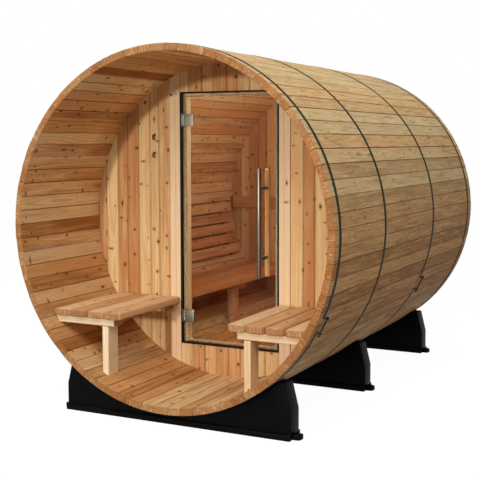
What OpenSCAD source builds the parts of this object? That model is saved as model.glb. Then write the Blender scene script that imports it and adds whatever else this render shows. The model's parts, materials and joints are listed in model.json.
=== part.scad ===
// Barrel sauna with an open front porch, two porch benches and an all-glass door.
// The barrel lies along Y with its open porch end at -Y. Z = 0 is the ground under the
// cradles, and X = Y = 0 is the middle of the footprint. All sizes are in millimetres.

/* [Barrel] */
// Outside diameter of the barrel
barrel_d = 1830; // [1600:5:2200]
// Length of the barrel from rim to rim
barrel_l = 2450; // [2000:10:3200]
// Thickness of the staves
stave_t = 36; // [25:1:50]
// Number of staves round the barrel, which stand in 15 equal banks
stave_count = 75; // [60:15:90]

/* [End walls] */
// Depth of the open porch, from the front rim to the face of the front wall
porch_depth = 690; // [450:5:900]
// Thickness of the end wall boards
wall_t = 36; // [25:1:50]
// Depth of the rear wall's outer face behind the rear rim
rear_inset = 60; // [30:1:120]
// Height of the batten across the inside of the rear wall
batten_w = 84; // [50:1:120]
// Thickness of that batten
batten_t = 20; // [12:1:40]
// Height of the batten's top edge above the axis of the barrel
batten_rise = 32; // [0:1:80]
// Diameter of the two round recesses in the left side of the front wall
recess_d = 38; // [20:1:45]
// Wood left behind the recesses
recess_skin = 6; // [3:1:12]
// Distance from the left jamb to the middle of the recesses
recess_inset = 105; // [40:1:160]
// Height of the upper recess above the axis of the barrel
recess_rise = 464; // [300:1:500]
// Distance from the upper recess down to the lower one
recess_pitch = 103; // [60:1:160]

/* [Doorway] */
// Clear width between the door jambs
opening_w = 620; // [500:5:700]
// Height of the sill above the lowest line inside the barrel
sill_h = 167; // [100:1:260]
// Drop of the doorway's head below the highest line inside the barrel
head_drop = 163; // [100:1:260]
// Width of a jamb across its face
jamb_w = 66; // [40:1:90]
// Depth of a jamb from front to back
jamb_t = 89; // [60:1:120]
// Distance that the jambs stand proud of the front wall
jamb_proud = 5; // [1:1:12]
// Thickness of the black liner round the doorway
liner_t = 10; // [5:1:14]
// Depth of the black liner
liner_depth = 20; // [15:1:30]

/* [Door] */
// Thickness of the door glass
glass_t = 8; // [6:1:12]
// Running gap between the liner and the edge of the door
door_gap = 7; // [5:1:10]
// Distance from the liner's front edge back to the face of the glass
glass_recess = 18; // [12:1:24]
// Width of the clear seal round the glass
seal_w = 10; // [6:1:16]
// Thickness of the seal's cheek on each face of the glass
seal_cheek = 2; // [1:0.5:4]
// Length of the two door handles
pull_l = 600; // [300:10:900]
// Diameter of the outer steel handle
pull_d = 25; // [16:1:32]
// Distance from a handle's middle line to the near face of the glass
pull_reach = 50; // [35:1:70]
// Distance between the two fixings of the handles
pull_pitch = 384; // [200:2:600]
// Distance from the free edge of the door to the handles
pull_inset = 87; // [60:1:150]
// Side of the square inner wooden handle
grip_w = 25; // [18:1:32]
// Height of a hinge plate
hinge_h = 72; // [50:1:100]
// Width of a hinge plate
hinge_w = 58; // [40:1:80]
// Distance from the end of the door to the middle of the nearer hinge
hinge_inset = 141; // [80:1:260]

/* [Benches] */
// Height of the seats above the lowest line inside the barrel
seat_h = 433; // [350:1:500]
// Width of a bench slat
slat_w = 92; // [70:1:120]
// Thickness of a bench slat
slat_t = 38; // [20:1:45]
// Slats in each bench
slat_count = 4; // [3:1:5]
// Gap between the slats of the porch benches
porch_slat_gap = 14; // [4:1:20]
// Gap between the slats of the cabin bench
cabin_slat_gap = 5; // [3:1:12]
// Space between the outermost slat's lower edge and the staves
slat_clear = 9; // [4:1:20]
// Distance from the front rim to the ends of the porch slats
porch_slat_inset = 75; // [40:1:150]
// Radius of the rounded front corner beside the aisle
slat_corner_r = 30; // [5:1:45]
// Width of the beams and posts under the benches
beam_w = 89; // [60:1:110]
// Thickness of the beams and posts
beam_t = 38; // [25:1:45]
// Setback of the beams from the edge of the seat beside the aisle
beam_setback = 45; // [10:1:80]
// Setback of the posts from the edge of the seat beside the aisle
post_setback = 83; // [50:1:140]
// Distance from the slats' front ends back to the porch bench's front beam
porch_beam_inset = 27; // [10:1:100]

/* [Backrest] */
// Boards in the backrest
back_count = 5; // [3:1:6]
// Width of a backrest board
back_w = 67; // [50:1:90]
// Thickness of a backrest board
back_t = 20; // [12:1:30]
// Space between the backrest boards and the staves
back_space = 30; // [15:1:60]
// Gap between the backrest boards
back_gap = 10; // [5:1:20]
// Height of the middle of the lowest board above the seat
back_lift = 107; // [90:1:160]

/* [Hoops] */
// Width of a steel hoop
hoop_w = 25; // [15:1:40]
// Thickness of a steel hoop
hoop_t = 1.5; // [1:0.1:3]
// Distance from the front rim to the middle of the first hoop
hoop_front = 65; // [30:1:120]
// Distance from the front rim to the middle of the third hoop
hoop_cabin = 1551; // [1200:1:1700]
// Distance from the rear rim to the middle of the last hoop
hoop_rear = 93; // [40:1:160]
// Angle below the axis at which a hoop is drawn tight
hoop_angle = 26.5; // [10:0.5:50]

/* [Cradles] */
// Height of the barrel's lowest line above the ground
cradle_lift = 70; // [40:1:120]
// Width of a cradle across the barrel
cradle_w = 1310; // [1100:5:1500]
// Thickness of a cradle along the barrel
cradle_t = 97; // [70:1:140]
// Height of a cradle's upright ends
cradle_end_h = 140; // [90:1:180]
// Height of a cradle's tips
cradle_tip_h = 273; // [200:1:320]
// Inward lean of the cradle's ends between those two heights
cradle_lean = 33; // [10:1:60]
// Height of the lip round a cradle's foot
lip_h = 28; // [15:1:40]
// Distance that the lip stands out to the front and back
lip_out = 14; // [6:1:25]
// Length of the lug at each end of a cradle
lug_out = 38; // [20:1:60]
// Width of that lug
lug_w = 54; // [30:1:90]
// Height of that lug
lug_h = 22; // [12:1:28]
// Distance from the front rim to the middle of the front cradle
cradle_front = 140; // [110:1:300]
// Distance from the front rim to the middle of the middle cradle
cradle_middle = 1150; // [900:5:1400]
// Distance from the rear rim to the middle of the rear cradle
cradle_rear = 205; // [110:1:400]

/* [Hidden] */
$fn = 240;

// Small clearances that several pieces share
seat_gap = 0.3;      // between a post and the beam on it, so that each stays a piece of its own
face_gap = 2;        // between the end of a board and the wall it runs up to
stud_play = 1;       // round a stud in its hole in the glass
knuckle_gap = 0.3;   // between hinge knuckles, and round the hinge pin
past = 10;           // how far a cutting shape runs past what it cuts

// Barrel
barrel_r = barrel_d / 2;
inner_r = barrel_r - stave_t;
axis_h = cradle_lift + barrel_r;
y_front = -barrel_l / 2;
y_rear = barrel_l / 2;
bank_count = 15;
bank_angle = 360 / bank_count;
bank_start = 180 / stave_count;        // a stave, not a joint, faces straight out to the side

// End walls and doorway, heights from the axis
y_wall = y_front + porch_depth;
y_jamb = y_wall - jamb_proud;
y_wall_back = y_wall + wall_t;
y_jamb_back = y_jamb + jamb_t;
y_back_wall = y_rear - rear_inset - wall_t;
open_x = opening_w / 2;
sill_z = sill_h - inner_r;
head_z = inner_r - head_drop;

// Door: the hinge pin stands at the left of the opening, just in front of the glass
liner_x = open_x - liner_t;
y_glass = y_jamb + glass_recess;
y_glass_back = y_glass + glass_t;
seal_t = glass_t + 2 * seal_cheek;
y_seal = y_glass - seal_cheek;
glass_bite = 2;                         // depth of the seal beyond the glass edge
knuckle_r = 5.5;
pin_r = 3;
plate_t = 6;
hinge_leaf_t = 2;
leaf_play = 0.5;                        // between a leaf and the moving knuckles
pivot_x = -liner_x + hinge_leaf_t + leaf_play + knuckle_r;
pivot_y = y_glass - plate_t - knuckle_r / 2;
door_x0 = pivot_x + glass_bite;
door_x1 = liner_x - door_gap;
door_z0 = sill_z + liner_t + door_gap;
door_z1 = head_z - liner_t - door_gap;
clamp_x0 = pivot_x;
clamp_x1 = clamp_x0 + hinge_w;
clamp_glass_x = door_x0 + seal_w / 2;   // where the inner clamp plate begins
hinge_z = [door_z0 + hinge_inset, door_z1 - hinge_inset];
knuckle_h = 20;                         // height of the middle knuckle
pin_h = 60;                             // height of the whole hinge barrel
clamp_stud_r = 5;
clamp_stud_z = 20;                      // studs above and below a hinge's middle
clamp_stud_x = (clamp_glass_x + clamp_x1) / 2;
pull_x = door_x1 - pull_inset;
pull_drop = 9;                          // of the handles' middle below the door's middle
pull_z = (door_z0 + door_z1) / 2 - pull_drop;
pull_stud_r = 5;
standoff_r = 8;
catch_w = 26;
catch_d = 20;
catch_h = 42;
catch_z = -8;                           // the catch stands just below the axis

// Benches
seat_z = seat_h - inner_r;
slat_z = seat_z - slat_t;
beam_z = slat_z - beam_t;
slat_x1 = sqrt(inner_r * inner_r - slat_z * slat_z) - slat_clear;
porch_x0 = slat_x1 - slat_count * slat_w - (slat_count - 1) * porch_slat_gap;
cabin_x0 = slat_x1 - slat_count * slat_w - (slat_count - 1) * cabin_slat_gap;
y_porch_slats = y_front + porch_slat_inset;
y_porch_slats_end = y_jamb - face_gap;
y_porch_beams = [y_porch_slats + porch_beam_inset, y_porch_slats_end - beam_w - face_gap];
y_cabin_slats = y_jamb_back + face_gap;
y_cabin_slats_end = y_back_wall - face_gap;
cabin_beam_inset = 50;
y_cabin_beams = [y_cabin_slats + cabin_beam_inset,
                 (y_cabin_slats + y_cabin_slats_end - beam_w) / 2,
                 y_cabin_slats_end - cabin_beam_inset - beam_w];

// Backrest
back_r = inner_r - back_space - back_t;  // radius to the faces that a back leans on
back_step = 2 * atan((back_w + back_gap) / (2 * back_r));
back_low = 180 - asin((seat_z + back_lift) / (back_r + back_t / 2));
back_top = back_low - (back_count - 1) * back_step;
y_back0 = y_cabin_slats + cabin_beam_inset;
y_back1 = y_cabin_slats_end - 2 * cabin_beam_inset;
rib_w = 38;
rib_inset = 60;
y_ribs = [y_back0 + rib_inset, (y_back0 + y_back1 - rib_w) / 2, y_back1 - rib_inset - rib_w];

// Hoops, with the two lugs and the bolt that draw each one tight
hoop_y = [y_front + hoop_front, y_wall, y_front + hoop_cabin, y_rear - hoop_rear];
lug_gap = 76;                            // between the lugs of a hoop
lug_plate_t = 4;
lug_rise = 26;
bolt_r = 4;
bolt_rise = 15;
bolt_past = 14;                          // length of bolt beyond each lug
nut_r = 8;
nut_h = 7;

// Carries a flat shape drawn across the barrel (X sideways, Z from the axis) along Y
module along(y, length) {
    translate([0, y + length, axis_h])
        rotate([90, 0, 0])
            linear_extrude(length)
                children();
}

// Turns a shape built out along +X to an angle round the barrel's axis
module at_angle(angle) {
    translate([0, 0, axis_h])
        rotate([0, -angle, 0])
            children();
}

// A block given by its near lower left corner, with its height from the axis, and its size
module block(x, y, z, size) {
    translate([x, y, axis_h + z])
        cube(size);
}

// A wedge from the axis that covers one angle, under a half turn, out past radius r
module wedge(r, start, angle) {
    far = 2 * r;
    polygon([[0, 0],
             far * [cos(start), sin(start)],
             far * [cos(start + angle / 2), sin(start + angle / 2)],
             far * [cos(start + angle), sin(start + angle)]]);
}

// A piece of a ring between two radii
module ring_piece(r_out, r_in, start, angle) {
    intersection() {
        difference() {
            circle(r_out);
            circle(r_in);
        }
        wedge(r_out, start, angle);
    }
}

// What lies inside the staves, for pieces that are cut to meet them
module inside_barrel(y, length) {
    along(y, length)
        circle(inner_r);
}

// What is drawn on the right side (+1), carried over to the left side for -1
module on_side(side) {
    mirror([side < 0 ? 1 : 0, 0, 0])
        children();
}

// ---------------------------------------------------------------- barrel
module stave_bank(index) {
    color("burlywood")
        along(y_front, barrel_l)
            ring_piece(barrel_r, inner_r, bank_start + (index - 1) * bank_angle, bank_angle);
}

module hoop(y, angle) {
    half_gap = asin((lug_gap / 2) / barrel_r);
    side_r = barrel_r + bolt_rise;
    along(y - hoop_w / 2, hoop_w)
        difference() {
            circle(barrel_r + hoop_t);
            circle(barrel_r);
            wedge(barrel_r, angle - half_gap, 2 * half_gap);
        }
    at_angle(angle) {
        for (side = [-1, 1]) {
            lug_z = side * (lug_gap + lug_plate_t) / 2;
            translate([barrel_r, y - hoop_w / 2, lug_z - lug_plate_t / 2])
                cube([lug_rise, hoop_w, lug_plate_t]);
            translate([side_r, y, lug_z + side * (lug_plate_t + nut_h) / 2])
                cylinder(h = nut_h, r = nut_r, center = true, $fn = 6);
        }
        translate([side_r, y, 0])
            cylinder(h = lug_gap + 2 * (lug_plate_t + bolt_past), r = bolt_r, center = true);
    }
}

module hoops() {
    color("dimgray") {
        hoop(hoop_y[0], -hoop_angle);
        hoop(hoop_y[1], hoop_angle - 180);
        hoop(hoop_y[2], -hoop_angle);
        hoop(hoop_y[3], hoop_angle - 180);
    }
}

// ---------------------------------------------------------------- end walls
// The part of a wall disc that a rectangle from one corner to the other takes in
module wall_piece(low, high) {
    along(y_wall, wall_t)
        intersection() {
            circle(inner_r);
            translate(low)
                square(high - low);
        }
}

module front_wall_side(side) {
    color("tan")
        on_side(side)
            wall_piece([open_x + jamb_w, -barrel_r], [barrel_r, barrel_r]);
}

// The left side has two round recesses, one above the other
module front_wall_left() {
    depth = wall_t - recess_skin;
    color("tan")
        difference() {
            front_wall_side(-1);
            for (z = [recess_rise, recess_rise - recess_pitch])
                translate([-(open_x + jamb_w + recess_inset), y_wall - past, axis_h + z])
                    rotate([-90, 0, 0])
                        cylinder(h = depth + past, r = recess_d / 2);
        }
}

module front_wall_head() {
    color("tan")
        wall_piece([-open_x, head_z], [open_x, barrel_r]);
}

module front_wall_sill() {
    color("tan")
        wall_piece([-open_x, -barrel_r], [open_x, sill_z]);
}

module jamb(side) {
    color("wheat")
        on_side(side)
            along(y_jamb, jamb_t)
                intersection() {
                    circle(inner_r);
                    translate([open_x, -barrel_r])
                        square([jamb_w, barrel_d]);
                }
}

module rear_wall() {
    color("tan")
        inside_barrel(y_back_wall, wall_t);
}

module rear_batten() {
    color("peru")
        along(y_back_wall - batten_t, batten_t)
            intersection() {
                circle(inner_r);
                translate([-barrel_r, batten_rise - batten_w])
                    square([barrel_d, batten_w]);
            }
}

// ---------------------------------------------------------------- cradles
module cradle(y) {
    end_x = cradle_w / 2;
    tip_x = end_x - cradle_lean;
    color("black") {
        along(y - cradle_t / 2, cradle_t)
            difference() {
                polygon([[-end_x, -axis_h], [end_x, -axis_h], [end_x, cradle_end_h - axis_h],
                         [tip_x, cradle_tip_h - axis_h], [-tip_x, cradle_tip_h - axis_h],
                         [-end_x, cradle_end_h - axis_h]]);
                circle(barrel_r);
            }
        block(-end_x, y - cradle_t / 2 - lip_out, -axis_h, [cradle_w, cradle_t + 2 * lip_out, lip_h]);
        block(-end_x - lug_out, y - lug_w / 2, -axis_h, [cradle_w + 2 * lug_out, lug_w, lug_h]);
    }
}

// ---------------------------------------------------------------- benches
// A slat whose edge beside the aisle ends in a rounded corner
module end_slat(x, y, length) {
    translate([x, y, axis_h + slat_z])
        linear_extrude(slat_t)
            difference() {
                square([slat_w, length]);
                difference() {
                    translate([-past, -past])
                        square(slat_corner_r + past);
                    translate([slat_corner_r, slat_corner_r])
                        circle(slat_corner_r);
                }
            }
}

module porch_slats(side) {
    length = y_porch_slats_end - y_porch_slats;
    color("navajowhite")
        on_side(side) {
            end_slat(porch_x0, y_porch_slats, length);
            for (i = [1 : slat_count - 1])
                block(porch_x0 + i * (slat_w + porch_slat_gap), y_porch_slats, slat_z,
                      [slat_w, length, slat_t]);
        }
}

// A beam under the slats, from near the aisle to the staves
module bench_beam(x, y) {
    intersection() {
        block(x, y, beam_z, [barrel_r, beam_w, beam_t]);
        inside_barrel(y, beam_w);
    }
}

// A post from the staves up to a beam
module bench_post(x, y) {
    intersection() {
        block(x, y, -barrel_r, [beam_t, beam_w, barrel_r + beam_z - seat_gap]);
        inside_barrel(y, beam_w);
    }
}

module porch_frame(side) {
    color("navajowhite")
        on_side(side) {
            for (y = y_porch_beams)
                bench_beam(porch_x0 + beam_setback, y);
            bench_post(porch_x0 + post_setback, y_porch_beams[0]);
        }
}

module cabin_slats() {
    color("peru")
        on_side(-1)
            for (i = [0 : slat_count - 1])
                block(cabin_x0 + i * (slat_w + cabin_slat_gap), y_cabin_slats, slat_z,
                      [slat_w, y_cabin_slats_end - y_cabin_slats, slat_t]);
}

module cabin_frame() {
    color("peru")
        on_side(-1) {
            for (y = y_cabin_beams)
                bench_beam(cabin_x0 + beam_setback / 2, y);
            bench_post(cabin_x0 + post_setback, y_cabin_beams[1]);
        }
}

module backrest_boards() {
    color("peru")
        for (i = [0 : back_count - 1])
            at_angle(back_top + i * back_step)
                translate([back_r, y_back0, -back_w / 2])
                    cube([back_t, y_back1 - y_back0, back_w]);
}

module backrest_ribs() {
    // The boards are flat, so their outer edges lie a little further out than their middles
    board_edge_r = sqrt(pow(back_r + back_t, 2) + pow(back_w / 2, 2));
    color("peru")
        for (y = y_ribs)
            along(y, rib_w)
                ring_piece(inner_r, board_edge_r, back_top - back_step / 2,
                           back_count * back_step);
}

// ---------------------------------------------------------------- doorway
module door_liner() {
    color("black")
        along(y_jamb, liner_depth)
            difference() {
                translate([-open_x, sill_z])
                    square([opening_w, head_z - sill_z]);
                translate([-liner_x, sill_z + liner_t])
                    square([2 * liner_x, head_z - sill_z - 2 * liner_t]);
            }
}

module door_catch() {
    color("dimgray")
        block(open_x - catch_w, y_seal + seal_t + door_gap, catch_z - catch_h / 2,
              [catch_w, catch_d, catch_h]);
}

// The fixed half of the hinges: a leaf on the liner, the middle knuckle and the pin
module hinge_brackets() {
    color("silver")
        for (z = hinge_z) {
            block(-liner_x, y_jamb, z - hinge_h / 2, [hinge_leaf_t, liner_depth, hinge_h]);
            block(-liner_x, pivot_y - knuckle_r, z - knuckle_h / 2,
                  [pivot_x + liner_x, 2 * knuckle_r, knuckle_h]);
            translate([pivot_x, pivot_y, axis_h + z]) {
                cylinder(h = knuckle_h, r = knuckle_r, center = true);
                cylinder(h = pin_h, r = pin_r, center = true);
            }
        }
}

// ---------------------------------------------------------------- door
module glass_outline(grow) {
    translate([door_x0 + glass_bite - grow, door_z0 + glass_bite - grow])
        square([door_x1 - door_x0 - 2 * (glass_bite - grow),
                door_z1 - door_z0 - 2 * (glass_bite - grow)]);
}

module stud_holes() {
    for (z = [-1, 1] * pull_pitch / 2)
        translate([pull_x, pull_z + z])
            circle(pull_stud_r + stud_play);
    for (z = hinge_z, dz = [-1, 1] * clamp_stud_z)
        translate([clamp_stud_x, z + dz])
            circle(clamp_stud_r + stud_play);
}

module door_glass() {
    color("lightcyan")
        along(y_glass, glass_t)
            difference() {
                glass_outline(0);
                stud_holes();
            }
}

module door_seal() {
    color("gainsboro")
        difference() {
            along(y_seal, seal_t)
                difference() {
                    glass_outline(glass_bite);
                    glass_outline(glass_bite - seal_w);
                }
            along(y_glass, glass_t)
                glass_outline(0);
            for (z = hinge_z)
                block(door_x0 - past, y_seal - past, z - hinge_h / 2 - stud_play,
                      [hinge_w, seal_t + 2 * past, hinge_h + 2 * stud_play]);
        }
}

// One steel tube with its two fixings, which run through the glass to the wooden handle
module door_pull() {
    color("silver") {
        translate([pull_x, y_glass - pull_reach, axis_h + pull_z])
            cylinder(h = pull_l, r = pull_d / 2, center = true);
        for (z = [-1, 1] * pull_pitch / 2)
            translate([pull_x, 0, axis_h + pull_z + z])
                rotate([-90, 0, 0]) {
                    translate([0, 0, y_glass - pull_reach])
                        cylinder(h = pull_reach, r = standoff_r);
                    translate([0, 0, y_glass - pull_reach])
                        cylinder(h = 2 * pull_reach + glass_t - grip_w / 2, r = pull_stud_r);
                    translate([0, 0, y_glass_back])
                        cylinder(h = pull_reach - grip_w / 2, r = standoff_r);
                }
    }
}

module door_grip() {
    color("peru")
        block(pull_x - grip_w / 2, y_glass_back + pull_reach - grip_w / 2, pull_z - pull_l / 2,
              [grip_w, grip_w, pull_l]);
}

// The moving half of the hinges: two plates that clamp the glass, and the outer knuckles
module hinge_clamps() {
    color("silver")
        for (z = hinge_z) {
            difference() {
                union() {
                    block(clamp_x0, y_glass - plate_t, z - hinge_h / 2, [hinge_w, plate_t, hinge_h]);
                    translate([pivot_x, pivot_y, axis_h + z])
                        cylinder(h = pin_h, r = knuckle_r, center = true);
                }
                translate([pivot_x, pivot_y, axis_h + z])
                    cylinder(h = pin_h + 2 * past, r = pin_r + knuckle_gap, center = true);
                translate([pivot_x, pivot_y, axis_h + z])
                    cylinder(h = knuckle_h + 2 * knuckle_gap, r = knuckle_r + 2 * knuckle_gap,
                             center = true);
            }
            block(clamp_glass_x, y_glass_back, z - hinge_h / 2,
                  [clamp_x1 - clamp_glass_x, plate_t, hinge_h]);
            for (dz = [-1, 1] * clamp_stud_z)
                translate([clamp_stud_x, y_glass - plate_t / 2, axis_h + z + dz])
                    rotate([-90, 0, 0])
                        cylinder(h = glass_t + plate_t, r = clamp_stud_r);
        }
}

for (i = [1 : bank_count])
    stave_bank(i);
front_wall_left();
front_wall_side(1);  // front_wall_right
front_wall_head();
front_wall_sill();
jamb(-1);  // jamb_left
jamb(1);  // jamb_right
rear_wall();
rear_batten();
hoops();
cradle(y_front + cradle_front);
cradle(y_front + cradle_middle);
cradle(y_rear - cradle_rear);
porch_slats(-1);  // porch_slats_left
porch_slats(1);  // porch_slats_right
porch_frame(-1);  // porch_frame_left
porch_frame(1);  // porch_frame_right
cabin_slats();
cabin_frame();
backrest_boards();
backrest_ribs();
door_liner();
door_catch();
hinge_brackets();
door_glass();
door_seal();
door_pull();
door_grip();
hinge_clamps();
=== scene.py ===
# %% [markdown]
# # The looks of a barrel sauna
#
# The sauna is a barrel of cedar staves that lies on three black cradles. One end is an open
# porch with two benches, and behind it stand a board wall, an all-glass door and the cabin.
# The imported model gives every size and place. This lesson builds the boards, straps and
# fittings that a maker would fit at those places, and gives each its finish.

import json
import math
import random

import bmesh
import bpy
from mathutils import Matrix, Vector


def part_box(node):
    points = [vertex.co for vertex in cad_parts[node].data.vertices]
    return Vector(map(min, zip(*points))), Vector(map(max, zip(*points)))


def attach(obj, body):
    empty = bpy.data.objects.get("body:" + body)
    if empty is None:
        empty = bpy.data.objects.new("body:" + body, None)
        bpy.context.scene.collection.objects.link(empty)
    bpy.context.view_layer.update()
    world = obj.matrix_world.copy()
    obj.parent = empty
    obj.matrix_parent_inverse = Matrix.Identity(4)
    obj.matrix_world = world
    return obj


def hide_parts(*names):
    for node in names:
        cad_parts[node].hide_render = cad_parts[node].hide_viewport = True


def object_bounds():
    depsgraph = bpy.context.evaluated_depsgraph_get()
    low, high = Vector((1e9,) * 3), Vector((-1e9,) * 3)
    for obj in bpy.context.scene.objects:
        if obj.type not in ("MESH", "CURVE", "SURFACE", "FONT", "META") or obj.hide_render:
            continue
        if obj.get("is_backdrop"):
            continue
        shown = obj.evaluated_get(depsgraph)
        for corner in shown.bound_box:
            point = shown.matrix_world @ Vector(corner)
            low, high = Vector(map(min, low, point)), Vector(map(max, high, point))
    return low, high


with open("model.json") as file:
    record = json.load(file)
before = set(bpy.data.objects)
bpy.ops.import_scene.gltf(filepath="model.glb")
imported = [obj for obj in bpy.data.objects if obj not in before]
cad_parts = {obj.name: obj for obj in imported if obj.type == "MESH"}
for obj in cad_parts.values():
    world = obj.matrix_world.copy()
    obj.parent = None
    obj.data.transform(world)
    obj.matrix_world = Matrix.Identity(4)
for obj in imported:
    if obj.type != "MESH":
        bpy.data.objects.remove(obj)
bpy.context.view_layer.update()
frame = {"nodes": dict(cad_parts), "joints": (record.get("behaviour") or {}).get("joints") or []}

# %% [markdown]
# ## Sizes that the pieces share
#
# A barrel is turned about one line, so most places follow from three numbers: the height of
# that line, the radius outside the staves and the radius inside them. They are read from the
# CAD nodes, so that the pieces follow the model if it changes.

# %% Read the barrel's sizes
rear_low, rear_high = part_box("rear_wall")
bank_low, bank_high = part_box("stave_bank_01")
axis_z = (rear_low.z + rear_high.z) / 2
y_front, y_rear = bank_low.y, bank_high.y
bank_radii = [math.hypot(v.co.x, v.co.z - axis_z)
              for v in frame["nodes"]["stave_bank_01"].data.vertices]
inner_r, outer_r = min(bank_radii), max(bank_radii)
print("axis", round(axis_z, 4), "radii", round(inner_r, 4), round(outer_r, 4))

# %% [markdown]
# ## Camera
#
# A long lens from well back keeps the barrel's rim nearly round. The view is from the front,
# a little to the right and just above the middle of the barrel, and the lens is shifted so
# that the rim sits left of the middle.

# %% Set the camera
camera_data = bpy.data.cameras.new("view")
camera_data.lens = 71.586
camera_data.shift_x = -0.0805
camera_data.shift_y = -0.0639
camera = bpy.data.objects.new("view", camera_data)
camera.location = (2.5193, -5.1772, 1.4238)
camera.rotation_euler = (math.radians(85.93), 0, math.radians(25.492))
bpy.context.scene.collection.objects.link(camera)
bpy.context.scene.camera = camera
print("camera", [round(v, 3) for v in camera.location])

# %% [markdown]
# ## Shader arithmetic
#
# A procedural finish is mostly arithmetic on a few textures. Wiring a Math node for every plus
# sign is slow to read, so a small class wraps one output socket and lets Python's own signs
# add the nodes. Every other kind of node comes from its one method, `node`.

# %% A socket that does arithmetic
class Shade:
    """An output socket of a material's node tree, or just the tree to start from."""

    def __init__(self, tree, socket=None):
        self.tree, self.socket = tree, socket

    def node(self, kind, settings=None, inputs=None, output=0):
        made = self.tree.nodes.new("ShaderNode" + kind)
        for key, value in (settings or {}).items():
            setattr(made, key, value)
        for key, value in (inputs or {}).items():
            if isinstance(value, Shade):
                self.tree.links.new(value.socket, made.inputs[key])
            else:
                made.inputs[key].default_value = value
        return Shade(self.tree, made.outputs[output] if made.outputs else None)

    def out(self, name):
        """Another output of the same node."""
        return Shade(self.tree, self.socket.node.outputs[name])

    def math(self, operation, *values):
        return self.node("Math", {"operation": operation}, dict(enumerate(values)))

    def __add__(self, other):
        return self.math("ADD", self, other)

    def __sub__(self, other):
        return self.math("SUBTRACT", self, other)

    def __rsub__(self, other):
        return self.math("SUBTRACT", other, self)

    def __mul__(self, other):
        return self.math("MULTIPLY", self, other)

    def __truediv__(self, other):
        return self.math("DIVIDE", self, other)

    __radd__, __rmul__ = __add__, __mul__


# %% Helpers for colours and places
def rgb(red, green, blue):
    """A colour as on a colour card, from 0 to 255, turned to the linear values of light."""
    return tuple(((v / 255 + 0.055) / 1.055) ** 2.4 for v in (red, green, blue)) + (1.0,)


def split(vector):
    """The three parts of a vector."""
    parts = vector.node("SeparateXYZ", inputs={0: vector})
    return parts, parts.out("Y"), parts.out("Z")


def join(tree, x, y, z):
    """A vector of three parts."""
    return tree.node("CombineXYZ", inputs={0: x, 1: y, 2: z})


def magnitude(vector):
    """How long a vector is."""
    return vector.node("VectorMath", {"operation": "LENGTH"}, {0: vector}, output="Value")


def fade(value, start, end):
    """0 at start and 1 at end, with a soft step between."""
    return value.node("MapRange", {"interpolation_type": "SMOOTHSTEP"},
                      {"Value": value, "From Min": start, "From Max": end})


def tint(factor, low, high):
    """The colour low where factor is 0 and high where it is 1."""
    return factor.node("Mix", {"data_type": "RGBA", "clamp_factor": True},
                       {0: factor, 6: low, 7: high}, output=2)


def noise(place, scale, detail=2.0, rough=0.5):
    """Soft noise from 0 to 1."""
    return place.node("TexNoise", inputs={"Vector": place, "Scale": scale, "Detail": detail,
                                          "Roughness": rough})


def new_tree(name):
    """A material with an empty node tree, and the tree to build on."""
    material = bpy.data.materials.new(name)
    material.use_nodes = True
    material.node_tree.nodes.clear()
    return material, Shade(material.node_tree)


def show(surface):
    """Puts a shader on the material's output."""
    surface.node("OutputMaterial", inputs={"Surface": surface})


print("straw", [round(v, 3) for v in rgb(215, 170, 110)])

# %% [markdown]
# ## Cedar
#
# Red cedar varies more from board to board than along one board: straw sapwood, salmon and
# brown heartwood lie side by side. A board shows streaks along its length, growth rings that
# open into arches, and small dark knots that the grain flows round. An image would repeat, so
# the wood is worked out in three dimensions from each board's own place in the log, which the
# mesh carries as an attribute. The end grain then shows rings where the faces show streaks.

# %% Place the knots
def knots(tree, place, knottiness, share):
    """The knots, the stain round them, how odd each is, and the place across, drawn to them."""
    across, along, _ = split(place)
    cell_across, cell_along = 0.092, 0.092 * 1.3             # a cell has one knot at most
    spots = tree.node("TexVoronoi", {"voronoi_dimensions": "2D", "feature": "F1"},
                      {"Vector": join(tree, across / cell_across, along / cell_along, 0.0),
                       "Scale": 1.0, "Randomness": 0.9})
    pick_size, pick_there, shape = split(spots.out("Color"))
    spot_across, spot_along, _ = split(spots.out("Position"))
    aside, beyond = across - spot_across * cell_across, along - spot_along * cell_along
    ragged = (noise(place, 150.0) - 0.5) * 0.005
    distance = ragged + magnitude(
        join(tree, aside * (shape + 0.55), beyond * (1.55 - shape), 0.0))
    there = fade(pick_there + (knottiness - 0.5) * 0.5, 1.0 - share, 1.02 - share)
    radius = pick_size * 0.0058 + 0.0030
    knot = fade(distance, radius + 0.0014, radius - 0.0012) * there
    halo = fade(distance, radius * 2.2 + 0.005, radius) * there
    # The grain parts round a knot, so places near it are drawn towards its middle
    bent = across - aside * fade(distance, 0.030, 0.004) * there * 0.85
    return knot, halo, shape, bent


# %% Grow the rings and streaks
def grain(tree, place, bent):
    """Rings of late wood, and streaks from fine to wide."""
    across, along, through = split(place)
    sway = noise(join(tree, along * 0.8, across * 2.0, through * 2.0), 1.0) - 0.5
    rings = magnitude(join(tree, bent + sway * 0.05, 0.0, through + sway * 0.06))
    streaks = join(tree, bent, along * 0.03, through)
    ring_width = 0.0062
    phase = tree.math("FRACT", (rings + noise(streaks, 7.0) * 0.010) / ring_width)
    late_wood = fade(phase, 0.3, 0.9) * fade(phase, 1.0, 0.93)
    fine = noise(streaks, 380.0, 3.0, 0.6)
    broad = noise(streaks, 75.0, 4.0, 0.6)
    wide = noise(join(tree, bent, along * 0.12, through), 14.0, 3.0)
    return late_wood, fine, broad, wide


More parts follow.
